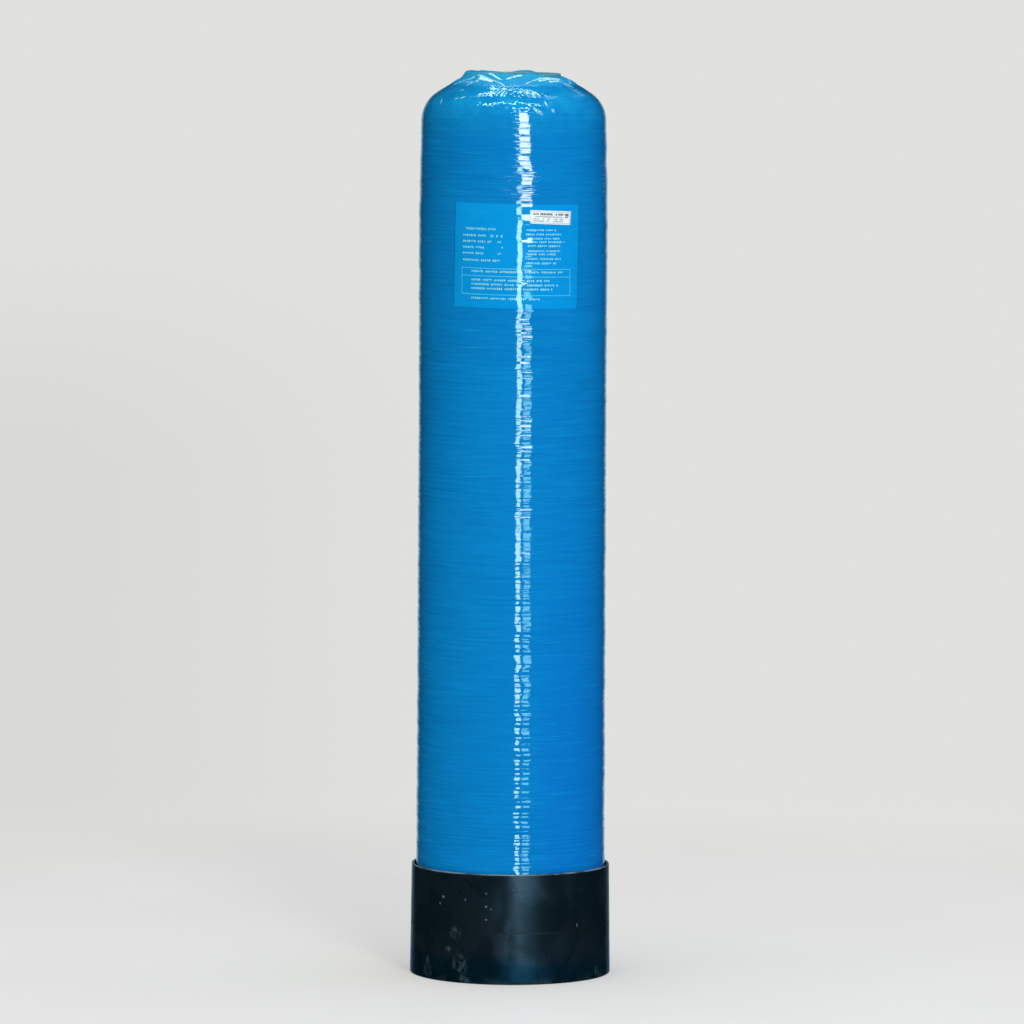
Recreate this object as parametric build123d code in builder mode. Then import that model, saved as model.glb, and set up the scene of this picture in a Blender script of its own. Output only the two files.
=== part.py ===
from build123d import *
import math
import os

os.makedirs("parts", exist_ok=True)

# Filament-wound pressure vessel for water treatment, standing on a moulded base.
# Millimetres. Z is up, the floor is z = 0 and the vessel's axis is x = y = 0.
# The printed label faces -Y.

# ---------------------------------------------------------------- driving sizes
H = 1000.0            # overall height, floor to the inlet's sealing face
R_BODY = 104.0        # outside radius of the wound body
R_SHOULDER = 102.4    # outside radius where the top dome begins
SHOULDER_LEN = 120.0  # the body widens from R_SHOULDER to R_BODY over this length
T_WOUND = 2.9         # wall of the wound shell on the body and the knuckles
T_LINER = 3.2         # wall of the blown liner

# top dome: knuckle circle centre (RT_C, ZT), crown spheres tangent to it
RT_C = 65.0
ZT = H - 52.6
TOP_CROWN_OUT = 150.0
TOP_CROWN_IN = 230.0  # flatter inside: the winding builds up towards the neck

# bottom dome: knuckle circle centre (RB_C, ZB)
RB_C = 65.5
ZB = 69.8
BOT_CROWN_OUT = 150.0
BOT_CROWN_IN = 170.0
R_SPUD = 9.0          # the liner's winding spud through the bottom pole

# inlet boss
R_THREAD = 36.4       # root of the 2 1/2 in straight pipe thread
THREAD_TOP = 5.0      # the thread starts this far below the face
BOSS_DEPTH = 33.0     # the boss ends this far below the face
R_SEAT = 38.6         # smooth seal seat above the thread
R_TUBE = 42.5         # outside of the boss's tube below the liner
R_NECK = 45.5         # outside of the neck under the lip
R_LIP = 51.8          # sealing face's outside radius
T_LIP = 3.0
R_FLANGE = 66.0       # flange buried between liner and winding
R_COLLAR = 52.0       # lower collar that clamps the liner's rim

# base
BASE_H = 122.0
R_BASE_BOTTOM = 111.4
R_BASE_TOP = 109.85
T_BASE = 2.8
BASE_LINE_Z = 57.0    # the fine moulding line round the outside
SHELF_Z = 53.5        # top of the inner shelf that carries the knuckle
R_FOOT_IN = 92.0
N_RIBS = 8
T_RIB = 2.6
R_HUB = 40.0          # middle radius of the hub ring

# label and sticker, as seen from the front: corners as (x, z)
T_LABEL = 0.2
T_STICKER = 0.15
LABEL = [(-63.5, 861.8), (72.1, 859.1), (70.3, 744.8), (-65.4, 747.4)]
STICKER = [(18.2, 854.4), (62.9, 852.1), (62.1, 837.2), (18.3, 839.7)]


# ---------------------------------------------------------------- geometry helpers
def crown_offset(rc, rk, crown):
    """Axial distance from the knuckle centre's level to the crown sphere's centre."""
    return math.sqrt((crown - rk) ** 2 - rc**2)


def junction(rc, rk, crown, up):
    """Where knuckle and crown meet, relative to the knuckle centre's level."""
    d = crown_offset(rc, rk, crown)
    k = crown / (crown - rk)
    return (rc * k, up * (d * k - d))


def crown_z(r, rc, rk, crown, up):
    """Height of the crown sphere at radius r, relative to the knuckle centre's level."""
    d = crown_offset(rc, rk, crown)
    return up * (math.sqrt(crown**2 - r**2) - d)


def top(r, rk, crown):
    return ZT + crown_z(r, RT_C, rk, crown, 1)


def bot(r, rk, crown):
    return ZB + crown_z(r, RB_C, rk, crown, -1)


def crown_arc(r0, r1, fn):
    """Arc along a crown between two radii; fn gives the height at a radius."""
    rm = (r0 + r1) / 2
    return ThreePointArc((r0, fn(r0)), (rm, fn(rm)), (r1, fn(r1)))


def knuckle_arc(rc, zc, rk, jr, jz, to_junction):
    """Arc of the knuckle between the body tangent and the crown junction."""
    a1 = math.atan2(jz, jr - rc)
    mid = (rc + rk * math.cos(a1 / 2), zc + rk * math.sin(a1 / 2))
    tangent, junc = (rc + rk, zc), (jr, zc + jz)
    if to_junction:
        return ThreePointArc(tangent, mid, junc)
    return ThreePointArc(junc, mid, tangent)


RK_T_OUT = R_SHOULDER - RT_C
RK_T_IN = RK_T_OUT - T_WOUND
RK_T_LIN = RK_T_IN - T_LINER
RK_B_OUT = R_BODY - RB_C
RK_B_IN = RK_B_OUT - T_WOUND
RK_B_LIN = RK_B_IN - T_LINER
TOP_CROWN_LIN = TOP_CROWN_IN - T_LINER
BOT_CROWN_LIN = BOT_CROWN_IN - T_LINER
Z_SH = ZT - SHOULDER_LEN

top_out = lambda r: top(r, RK_T_OUT, TOP_CROWN_OUT)
top_in = lambda r: top(r, RK_T_IN, TOP_CROWN_IN)
top_lin = lambda r: top(r, RK_T_LIN, TOP_CROWN_LIN)
bot_out = lambda r: bot(r, RK_B_OUT, BOT_CROWN_OUT)
bot_in = lambda r: bot(r, RK_B_IN, BOT_CROWN_IN)
bot_lin = lambda r: bot(r, RK_B_LIN, BOT_CROWN_LIN)

J_T_OUT = junction(RT_C, RK_T_OUT, TOP_CROWN_OUT, 1)
J_T_IN = junction(RT_C, RK_T_IN, TOP_CROWN_IN, 1)
J_T_LIN = junction(RT_C, RK_T_LIN, TOP_CROWN_LIN, 1)
J_B_OUT = junction(RB_C, RK_B_OUT, BOT_CROWN_OUT, -1)
J_B_IN = junction(RB_C, RK_B_IN, BOT_CROWN_IN, -1)
J_B_LIN = junction(RB_C, RK_B_LIN, BOT_CROWN_LIN, -1)

R_COLLAR_FOOT = 70.0            # where the wound collar runs out into the dome
Z_FLANGE_EDGE = top_in(R_FLANGE) + 0.95
Z_FLANGE_TOP = H - 8.0

# ---------------------------------------------------------------- wound shell
# One laminate: helical and hoop windings cured together over the liner.
with BuildPart() as frp_shell:
    with BuildSketch(Plane.XZ) as shell_sk:
        with BuildLine():
            # outside, from under the lip down to the bottom pole
            ThreePointArc(
                (R_LIP, H - T_LIP), (60.0, H - 5.9), (R_COLLAR_FOOT, top_out(R_COLLAR_FOOT))
            )
            crown_arc(R_COLLAR_FOOT, J_T_OUT[0], top_out)
            knuckle_arc(RT_C, ZT, RK_T_OUT, *J_T_OUT, False)
            Line((R_SHOULDER, ZT), (R_BODY, Z_SH))
            Line((R_BODY, Z_SH), (R_BODY, ZB))
            knuckle_arc(RB_C, ZB, RK_B_OUT, *J_B_OUT, True)
            crown_arc(J_B_OUT[0], R_SPUD, bot_out)
            # through the wall at the pole, and back up the inside
            Line((R_SPUD, bot_out(R_SPUD)), (R_SPUD, bot_in(R_SPUD)))
            crown_arc(R_SPUD, J_B_IN[0], bot_in)
            knuckle_arc(RB_C, ZB, RK_B_IN, *J_B_IN, False)
            Line((RB_C + RK_B_IN, ZB), (RB_C + RK_B_IN, Z_SH))
            Line((RB_C + RK_B_IN, Z_SH), (RT_C + RK_T_IN, ZT))
            knuckle_arc(RT_C, ZT, RK_T_IN, *J_T_IN, True)
            crown_arc(J_T_IN[0], R_FLANGE, top_in)
            # over the buried flange and up the neck, to the underside of the lip
            Line((R_FLANGE, top_in(R_FLANGE)), (R_FLANGE, Z_FLANGE_EDGE))
            Line((R_FLANGE, Z_FLANGE_EDGE), (R_NECK, Z_FLANGE_TOP))
            Line((R_NECK, Z_FLANGE_TOP), (R_NECK, H - T_LIP))
            Line((R_NECK, H - T_LIP), (R_LIP, H - T_LIP))
        make_face()
    revolve(axis=Axis.Z)
frp_shell.part.label = "frp_shell"

# ---------------------------------------------------------------- liner
# Blown in one piece round the boss, with a solid spud at the bottom pole.
with BuildPart() as liner:
    with BuildSketch(Plane.XZ) as liner_sk:
        with BuildLine():
            crown_arc(R_TUBE, J_T_IN[0], top_in)
            knuckle_arc(RT_C, ZT, RK_T_IN, *J_T_IN, False)
            Line((RT_C + RK_T_IN, ZT), (RB_C + RK_B_IN, Z_SH))
            Line((RB_C + RK_B_IN, Z_SH), (RB_C + RK_B_IN, ZB))
            knuckle_arc(RB_C, ZB, RK_B_IN, *J_B_IN, True)
            crown_arc(J_B_IN[0], R_SPUD, bot_in)
            Line((R_SPUD, bot_in(R_SPUD)), (R_SPUD, bot_out(R_SPUD)))
            Line((R_SPUD, bot_out(R_SPUD)), (0, bot_out(R_SPUD)))
            Line((0, bot_out(R_SPUD)), (0, bot_lin(0)))
            crown_arc(0, J_B_LIN[0], bot_lin)
            knuckle_arc(RB_C, ZB, RK_B_LIN, *J_B_LIN, False)
            Line((RB_C + RK_B_LIN, ZB), (RB_C + RK_B_LIN, Z_SH))
            Line((RB_C + RK_B_LIN, Z_SH), (RT_C + RK_T_LIN, ZT))
            knuckle_arc(RT_C, ZT, RK_T_LIN, *J_T_LIN, True)
            crown_arc(J_T_LIN[0], R_TUBE, top_lin)
            Line((R_TUBE, top_lin(R_TUBE)), (R_TUBE, top_in(R_TUBE)))
        make_face()
    revolve(axis=Axis.Z)
liner.part.label = "pe_liner"

# ---------------------------------------------------------------- inlet boss
# Moulded insert: threaded tube, sealing lip, a flange above the liner and a
# collar below it, so that the liner's rim is held in the groove between them.
with BuildPart() as boss:
    with BuildSketch(Plane.XZ) as boss_sk:
        with BuildLine():
            Line((R_SEAT + 1.0, H), (R_LIP - 0.6, H))
            Line((R_LIP - 0.6, H), (R_LIP, H - 0.6))
            Line((R_LIP, H - 0.6), (R_LIP, H - T_LIP))
            Line((R_LIP, H - T_LIP), (R_NECK, H - T_LIP))
            Line((R_NECK, H - T_LIP), (R_NECK, Z_FLANGE_TOP))
            Line((R_NECK, Z_FLANGE_TOP), (R_FLANGE, Z_FLANGE_EDGE))
            Line((R_FLANGE, Z_FLANGE_EDGE), (R_FLANGE, top_in(R_FLANGE)))
            crown_arc(R_FLANGE, R_TUBE, top_in)
            Line((R_TUBE, top_in(R_TUBE)), (R_TUBE, top_lin(R_TUBE)))
            crown_arc(R_TUBE, R_COLLAR, top_lin)
            Line((R_COLLAR, top_lin(R_COLLAR)), (R_COLLAR, H - 20.6))
            Line((R_COLLAR, H - 20.6), (R_COLLAR - 2.0, H - 22.0))
            Line((R_COLLAR - 2.0, H - 22.0), (R_TUBE, H - 22.0))
            Line((R_TUBE, H - 22.0), (R_TUBE, H - BOSS_DEPTH + 1.0))
            Line((R_TUBE, H - BOSS_DEPTH + 1.0), (R_TUBE - 1.0, H - BOSS_DEPTH))
            Line((R_TUBE - 1.0, H - BOSS_DEPTH), (R_THREAD, H - BOSS_DEPTH))
            Line((R_THREAD, H - BOSS_DEPTH), (R_THREAD, H - THREAD_TOP))
            Line((R_THREAD, H - THREAD_TOP), (R_SEAT, H - THREAD_TOP + 1.3))
            Line((R_SEAT, H - THREAD_TOP + 1.3), (R_SEAT, H - 1.0))
            Line((R_SEAT, H - 1.0), (R_SEAT + 1.0, H))
        make_face()
    revolve(axis=Axis.Z)
boss.part.label = "inlet_boss"


# ---------------------------------------------------------------- base
def wall_out(z):
    return R_BASE_BOTTOM + (R_BASE_TOP - R_BASE_BOTTOM) * z / BASE_H


def wall_in(z):
    return wall_out(z) - T_BASE


# the vessel's outside below the body tangent, as a cutter for the seat
with BuildPart() as seat_cutter:
    with BuildSketch(Plane.XZ):
        with BuildLine():
            Line((0, bot_out(0)), (0, BASE_H + 5))
            Line((0, BASE_H + 5), (R_BODY, BASE_H + 5))
            Line((R_BODY, BASE_H + 5), (R_BODY, ZB))
            knuckle_arc(RB_C, ZB, RK_B_OUT, *J_B_OUT, True)
            crown_arc(J_B_OUT[0], 0, bot_out)
        make_face()
    revolve(axis=Axis.Z)

with BuildPart() as base:
    # wall with draft, rolled rim, fine moulding line and an inturned foot
    with BuildSketch(Plane.XZ) as wall_sk:
        with BuildLine():
            Polyline(
                (R_FOOT_IN, 0),
                (wall_out(0), 0),
                (wall_out(BASE_LINE_Z - 0.5), BASE_LINE_Z - 0.5),
                (wall_out(BASE_LINE_Z) - 0.35, BASE_LINE_Z),
                (wall_out(BASE_LINE_Z + 0.5), BASE_LINE_Z + 0.5),
                (wall_out(BASE_H), BASE_H),
                (wall_in(BASE_H), BASE_H),
                (wall_in(4.0), 4.0),
                (R_FOOT_IN, 4.0),
                close=True,
            )
        make_face()
        rim = [v for v in wall_sk.vertices() if abs(v.Y - BASE_H) < 0.01]
        fillet(rim, 1.1)
        toe = [v for v in wall_sk.vertices() if abs(v.Y) < 0.01 and v.X > 100]
        fillet(toe, 1.4)
    revolve(axis=Axis.Z)
    # shelf that carries the knuckle, with a sloped underside
    with BuildSketch(Plane.XZ):
        with BuildLine():
            Polyline(
                (wall_in(SHELF_Z) + 0.6, SHELF_Z),
                (96.0, SHELF_Z),
                (96.0, SHELF_Z - 3.0),
                (wall_in(SHELF_Z) + 0.6, SHELF_Z - 8.0),
                close=True,
            )
        make_face()
    revolve(axis=Axis.Z)
    # hub ring and radial ribs under the dome
    with BuildSketch(Plane.XY.offset(1.5)):
        Circle(R_HUB + 1.5)
        Circle(R_HUB - 1.5, mode=Mode.SUBTRACT)
    extrude(amount=25)
    with BuildSketch(Plane.XY.offset(1.5)):
        with PolarLocations((R_HUB + 108.0) / 2, N_RIBS, start_angle=22.5):
            Rectangle(108.0 - R_HUB, T_RIB)
    extrude(amount=SHELF_Z - 1.5 - 2.0)
    add(seat_cutter.part, mode=Mode.SUBTRACT)
base.part.label = "base"

# ---------------------------------------------------------------- base adhesive
# Bead of glue poured on the shelf, filling the wedge between knuckle and wall.
BEAD_TOP = 61.0
with BuildPart() as bead:
    with BuildSketch(Plane.XZ):
        with BuildLine():
            Polyline(
                (90.0, SHELF_Z),
                (wall_in(SHELF_Z), SHELF_Z),
                (wall_in(BEAD_TOP), BEAD_TOP),
                (90.0, BEAD_TOP),
                close=True,
            )
        make_face()
    revolve(axis=Axis.Z)
    add(seat_cutter.part, mode=Mode.SUBTRACT)
bead.part.label = "base_adhesive"


# ---------------------------------------------------------------- label and sticker
def skin(corners, r_in, r_out, name):
    """A thin piece of the cylinder wall, bounded by four corners seen from the front."""
    zs = [c[1] for c in corners]
    with BuildPart() as piece:
        with BuildSketch(Plane.XY.offset(min(zs) - 2)):
            Circle(r_out)
            Circle(r_in, mode=Mode.SUBTRACT)
        extrude(amount=max(zs) - min(zs) + 4)
        with BuildSketch(Plane.XZ):
            with BuildLine():
                Polyline(*corners, close=True)
            make_face()
        extrude(amount=R_BODY + 10, mode=Mode.INTERSECT)
    piece.part.label = name
    return piece.part


label = skin(LABEL, R_BODY, R_BODY + T_LABEL, "data_label")
sticker = skin(STICKER, R_BODY + T_LABEL, R_BODY + T_LABEL + T_STICKER, "sticker")

# ---------------------------------------------------------------- files
export_step(frp_shell.part, "parts/frp_shell.step")
export_step(liner.part, "parts/pe_liner.step")
export_step(boss.part, "parts/inlet_boss.step")
export_step(base.part, "parts/base.step")
export_step(bead.part, "parts/base_adhesive.step")
export_step(label, "parts/data_label.step")
export_step(sticker, "parts/sticker.step")

for name, part in [
    ("frp_shell", frp_shell.part),
    ("pe_liner", liner.part),
    ("inlet_boss", boss.part),
    ("base", base.part),
    ("base_adhesive", bead.part),
    ("data_label", label),
    ("sticker", sticker),
]:
    print(name, "volume cm3", round(part.volume / 1000, 2), "solids", len(part.solids()))
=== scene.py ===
import math

import bpy
import numpy as np
from mathutils import Matrix

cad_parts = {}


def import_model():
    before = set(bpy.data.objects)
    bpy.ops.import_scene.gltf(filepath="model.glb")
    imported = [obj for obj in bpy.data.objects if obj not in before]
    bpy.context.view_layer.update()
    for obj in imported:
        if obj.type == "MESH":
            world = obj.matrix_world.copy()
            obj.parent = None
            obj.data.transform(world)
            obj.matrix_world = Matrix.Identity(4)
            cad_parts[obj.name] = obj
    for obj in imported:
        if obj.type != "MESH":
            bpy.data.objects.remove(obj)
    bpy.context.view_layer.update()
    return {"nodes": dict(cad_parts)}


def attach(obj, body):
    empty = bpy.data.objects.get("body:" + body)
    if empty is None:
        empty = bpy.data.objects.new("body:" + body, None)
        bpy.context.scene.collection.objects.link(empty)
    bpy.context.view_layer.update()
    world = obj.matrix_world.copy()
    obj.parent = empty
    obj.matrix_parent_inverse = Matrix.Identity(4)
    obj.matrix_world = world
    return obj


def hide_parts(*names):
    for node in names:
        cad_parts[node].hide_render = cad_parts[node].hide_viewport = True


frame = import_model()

MM = 0.001
PI = math.pi
nodes = frame["nodes"]

# ------------------------------------------------------------------ sizes, in mm
H = 1000.0
ZT, RT_C = H - 52.6, 65.0
R_SHOULDER, R_BODY, SHOULDER_LEN = 102.4, 104.0, 120.0
Z_SH = ZT - SHOULDER_LEN
ZB, RB_C = 69.8, 65.5
CROWN_T, CROWN_B = 150.0, 150.0
CROWN_TI, CROWN_BI = 230.0, 170.0
RK_T, RK_B = R_SHOULDER - RT_C, R_BODY - RB_C
RK_TI, RK_BI = RK_T - 2.9, RK_B - 2.9
R_FOOT = 70.0
LABEL = [(-63.5, 861.8), (72.1, 859.1), (70.3, 744.8), (-65.4, 747.4)]
STICKER = [(18.2, 854.4), (62.9, 852.1), (62.1, 837.2), (18.3, 839.7)]

# The camera, found from the tank's outline: distance, height, tilt, roll, focal length.
CAM_D, CAM_H, CAM_PITCH, CAM_ROLL, CAM_F = 9.1002, 1.32386, 0.08881, 0.00475, 8231.5


# ------------------------------------------------------------------ small helpers
def smooth(e0, e1, x):
    t = np.clip((x - e0) / (e1 - e0), 0.0, 1.0)
    return t * t * (3 - 2 * t)


def waves(seed, n, m_lo, m_hi, lam_lo, lam_hi, amp):
    """A smooth random field over azimuth and height: rms close to amp."""
    r = np.random.RandomState(seed)
    m = r.randint(m_lo, m_hi + 1, n) * r.choice([-1, 1], n)
    k = 2 * PI / np.exp(r.uniform(math.log(lam_lo), math.log(lam_hi), n))
    ph = r.uniform(0, 2 * PI, n)
    a = amp * math.sqrt(2.0 / n)

    def f(th, z):
        out = np.zeros(np.broadcast(th, z).shape)
        for mi, ki, pi in zip(m, k, ph):
            out += a * np.cos(mi * th + ki * z + pi)
        return out

    return f


def table(xs, ys, period=None):
    xs, ys = np.array(xs, float), np.array(ys, float)

    def f(x):
        if period:
            return np.interp(x, xs, ys, period=period)
        return np.interp(x, xs, ys)

    return f


def crown_z(r, rc, rk, crown, zc, up):
    d = math.sqrt((crown - rk) ** 2 - rc * rc)
    return zc + up * (np.sqrt(crown * crown - r * r) - d)


def junction(rc, rk, crown, zc, up):
    d = math.sqrt((crown - rk) ** 2 - rc * rc)
    k = crown / (crown - rk)
    return rc * k, zc + up * (d * k - d)


def mesh_object(name, verts, faces, mats, index=None, smooth_shade=True):
    """A mesh piece from vertices in mm. It rides on the tank's one body."""
    me = bpy.data.meshes.new(name)
    me.from_pydata((np.asarray(verts, float) * MM).tolist(), [], faces)
    for m in mats:
        me.materials.append(m)
    if index is not None:
        me.polygons.foreach_set("material_index", np.asarray(index, np.int32))
    me.polygons.foreach_set("use_smooth", np.full(len(me.polygons), smooth_shade))
    me.validate()
    me.update()
    o = bpy.data.objects.new(name, me)
    bpy.context.scene.collection.objects.link(o)
    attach(o, "root")
    return o


# ------------------------------------------------------------------ the wound surface
# Azimuth is 0 at the front (-Y) and grows towards +X.
dR = table(
    [125, 140, 200, 300, 450, 560, 640, 720, 815, 860, 900, 925, 947],
    [1.10, 0.84, 0.80, 0.62, 0.46, 0.26, 0.10, 0.30, 0.42, 0.58, 0.30, 0.20, 0.0],
)


def body_radius(z):
    taper = R_BODY + (R_SHOULDER - R_BODY) * np.clip((z - Z_SH) / SHOULDER_LEN, 0, 1)
    return taper + dR(z)


slow_a = waves(11, 10, 0, 3, 60, 300, 1.0)
slow_b = waves(12, 12, 0, 4, 25, 90, 1.0)
slow_c = waves(13, 12, 1, 6, 12, 40, 1.0)
broad = waves(14, 16, 1, 5, 40, 140, 0.10)
wobble = waves(15, 30, 4, 12, 10, 45, 0.085)
helix = waves(16, 14, 8, 16, 38, 52, 0.02)
quick = waves(18, 24, 0, 9, 8, 16, 1.0)

# steepest slope of the hoop ridges, and their pitch in mm, over height
ridge_slope = table(
    [125, 150, 172, 195, 225, 290, 330, 450, 510, 530, 590, 610, 735, 750, 858, 872, 905, 920, 945, 960],
    [0.13, 0.13, 0.15, 0.105, 0.085, 0.085, 0.095, 0.10, 0.11, 0.19, 0.19, 0.110, 0.105, 0.08, 0.05, 0.020, 0.014, 0.014, 0.016, 0.03],
)
ridge_pitch = table([60, 150, 185, 745, 865, 905, 930, 1000], [4.3, 4.3, 5.4, 5.4, 5.0, 5.2, 7.2, 7.4])
ZZ = np.linspace(60, 1000, 3761)
DENS = 2 * PI / ridge_pitch(ZZ)
PHASE = np.concatenate([[0], np.cumsum((DENS[1:] + DENS[:-1]) / 2 * np.diff(ZZ))])

corners = np.array(LABEL)


def in_quad(quad, x, z, soft):
    """1 inside the four corners as seen from the front, fading to 0 over soft mm."""
    inside = np.full(np.broadcast(x, z).shape, 1e9)
    for i in range(4):
        (x0, z0), (x1, z1) = quad[i], quad[(i + 1) % 4]
        dx, dz = x1 - x0, z1 - z0
        n = math.hypot(dx, dz)
        inside = np.minimum(inside, ((z0 - z) * dx - (x0 - x) * dz) / n)
    return smooth(-soft, soft, inside)


def label_mask(th, z):
    r = R_BODY
    m = in_quad(corners, r * np.sin(th), z, 2.5)
    return m * (np.cos(th) > 0)


def hoop_relief(th, z):
    """Ridges of the hoop winding: rounded tops with narrow valleys between."""
    ph = np.interp(z, ZZ, PHASE) + th + 1.0 * slow_b(th, z) + 0.55 * quick(th, z)
    env = np.clip(0.95 + 0.22 * slow_a(th, z) + 0.26 * slow_b(th, z + 300) + 0.30 * quick(th, z + 90), 0.25, 1.9)
    amp = ridge_slope(z) * ridge_pitch(z) / PI
    return amp * env * (np.abs(np.cos(ph / 2)) - 0.64)


def body_relief(th, z):
    soft = label_mask(th, z)
    out = hoop_relief(th, z) * (1 - 0.88 * soft)
    out = out + wobble(th, z) * (1 - 0.3 * soft) + helix(th, z) * (1 - 0.5 * soft)
    return out + broad(th, z)


# --- dome: bands laid tangent to the opening, each a straight strip in plan
RB = np.random.RandomState(31)
bands = []
N_BANDS = 26
for i in range(N_BANDS):
    a = 2 * PI * ((i * 11) % N_BANDS) / N_BANDS + RB.uniform(-0.06, 0.06)
    q0 = RB.uniform(50.5, 55.5)
    w = RB.uniform(15.0, 23.0)
    t = RB.uniform(0.05, 0.11)
    bands.append((a, q0, q0 + w, t, RB.uniform(1.6, 2.6)))
dome_lump = waves(41, 30, 5, 16, 16, 40, 0.05)
dome_small = waves(42, 36, 18, 40, 8, 16, 0.012)
D2R = PI / 180


def band_sum(th, r):
    x, y = r * np.sin(th), -r * np.cos(th)
    out = np.zeros(np.broadcast(th, r).shape)
    for a, q0, q1, t, e in bands:
        q = x * math.sin(a) - y * math.cos(a)
        p = x * math.cos(a) + y * math.sin(a)
        q = q + 0.5 * np.sin(p * 0.11 + a * 7)
        prof = smooth(q0 - e, q0 + e, q) * (1 - smooth(q1 - e, q1 + e, q))
        # a band is a little thicker along its edges
        rib = 0.22 * np.exp(-(((q - q0 - 1.6) / 1.3) ** 2)) + 0.16 * np.exp(-(((q - q1 + 1.6) / 1.3) ** 2))
        out += t * prof * (1 + rib)
    return out


TH_MEAN = np.linspace(0, 2 * PI, 240, endpoint=False)
R_MEAN = np.linspace(50.0, 104.0, 136)
BAND_MEAN = np.array([band_sum(TH_MEAN, np.full(240, r)).mean() for r in R_MEAN])

crest = table(
    [-95, -84, -75, -62, -50, -38, -24, -12, -3, 6, 14, 22, 29, 36, 44, 60, 90, 120, 140, 147, 153, 162, 170, 176,
     182, 188, 193, 198, 207, 214, 220, 227, 236, 244, 254, 262, 265],
    [2.9, 2.8, 2.5, 1.9, 2.3, 1.8, 2.2, 2.0, 1.4, 1.7, 2.2, 2.1, 1.2, -1.2, -2.4, -2.6, -2.6, -2.6, -1.6, -0.4, 0.9,
     2.7, 2.5, 1.7, 0.8, 0.0, -0.1, 1.0, 1.5, 2.0, 2.7, 2.2, 2.6, 3.3, 3.1, 3.0, 2.9],
    period=360.0,
)


def crest_height(th):
    """Top of the wound collar above the inlet's face, round the opening."""
    d = np.degrees(th)
    out = np.zeros(np.shape(th))
    for off, w in ((-3.0, 0.25), (0.0, 0.5), (3.0, 0.25)):
        out += w * crest(d + off)
    return out


def collar_base_z(r):
    """The CAD collar: an arc through three points, then the crown."""
    (x1, y1), (x2, y2), (x3, y3) = (51.8, H - 3.0), (60.0, H - 5.9), (R_FOOT, 0.0)
    y3 = float(crown_z(R_FOOT, RT_C, RK_T, CROWN_T, ZT, 1))
    a = np.array([[x2 - x1, y2 - y1], [x3 - x1, y3 - y1]])
    b = np.array([(x2**2 - x1**2 + y2**2 - y1**2) / 2, (x3**2 - x1**2 + y3**2 - y1**2) / 2])
    cx, cy = np.linalg.solve(a, b)
    rad = math.hypot(x1 - cx, y1 - cy)
    side = 1 if y1 > cy else -1
    return cy + side * np.sqrt(np.maximum(rad * rad - (r - cx) ** 2, 0))


def dome_relief(th, r, z):
    fade = smooth(ZT - 26, ZT + 10, z)
    rise = band_sum(th, r) - np.interp(r, R_MEAN, BAND_MEAN)
    lump = dome_lump(th, z) * (0.5 + 0.9 * (1 - smooth(60, 95, r)))
    small = dome_small(th, z) * (1 + 1.5 * smooth(78, 92, r))
    return fade * (0.85 * rise + lump + small) * (0.3 + 0.7 * smooth(53.0, 60.0, r))


def outer(th, r, z, nr, nz):
    """The wound surface over a point of the dome or collar, given its normal."""
    rise = dome_relief(th, r, z)
    out_r, out_z = r + nr * rise, z + nz * rise
    # the winding has climbed over the lip's edge and stands above it
    lift = H + crest_height(th) + 0.12 * np.sin(th * 23) - float(collar_base_z(53.0)) - 0.25
    fall = (1 - smooth(52.3, 60.0, r)) ** 1.3
    roll = -0.6 * (1 - smooth(52.2, 53.2, r))
    out_z = out_z + np.where(r < R_FOOT, lift * fall + roll, 0.0)
    out_r = out_r + 0.1 * np.clip(lift, 0, 9) * fall * np.sin(th * 5 + 1) * smooth(53, 56, r)
    return out_r, out_z


def dome_base(r):
    """Height and normal of the plain dome at a radius below 100 mm."""
    r = np.asarray(r, float)
    jr, jz = junction(RT_C, RK_T, CROWN_T, ZT, 1)

    def height(q):
        crown = crown_z(q, RT_C, RK_T, CROWN_T, ZT, 1)
        knuckle = ZT + np.sqrt(np.maximum(RK_T**2 - (q - RT_C) ** 2, 1.0))
        return np.where(q < R_FOOT, collar_base_z(np.minimum(q, R_FOOT)), np.where(q < jr, crown, knuckle))

    dz = (height(r + 0.05) - height(r - 0.05)) / 0.1
    n = np.sqrt(1 + dz * dz)
    return height(r), -dz / n, 1 / n


def profile():
    """Outer profile from the collar's crest to the bottom pole: r, z, normal, zone."""
    pts = []
    for r in np.concatenate([[52.2, 52.7, 53.3, 54.0, 54.8], np.arange(55.7, R_FOOT, 1.05)]):
        pts.append((r, float(collar_base_z(r)), 0))
    jr, jz = junction(RT_C, RK_T, CROWN_T, ZT, 1)
    for r in np.arange(R_FOOT + 0.2, jr, 1.15):
        pts.append((r, float(crown_z(r, RT_C, RK_T, CROWN_T, ZT, 1)), 1))
    a1 = math.atan2(jz - ZT, jr - RT_C)
    n = int(a1 * RK_T / 1.15)
    for i in range(n):
        a = a1 * (1 - i / n)
        pts.append((RT_C + RK_T * math.cos(a), ZT + RK_T * math.sin(a), 1))
    n_dome = len(pts)
    for z in np.arange(ZT, 119.0, -1.04):
        pts.append((float(body_radius(z)), z, 2))
    for z in np.arange(112, ZB, -8.0):
        pts.append((float(R_BODY + dR(z) * smooth(70, 120, z)), z, 2))
    jr, jz = junction(RB_C, RK_B, CROWN_B, ZB, -1)
    a1 = math.atan2(ZB - jz, jr - RB_C)
    for i in range(9):
        a = a1 * i / 9
        pts.append((RB_C + RK_B * math.cos(a), ZB - RK_B * math.sin(a), 3))
    for r in np.linspace(jr, 9.0, 12):
        pts.append((r, float(crown_z(r, RB_C, RK_B, CROWN_B, ZB, -1)), 3))
    return np.array(pts), n_dome


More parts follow.
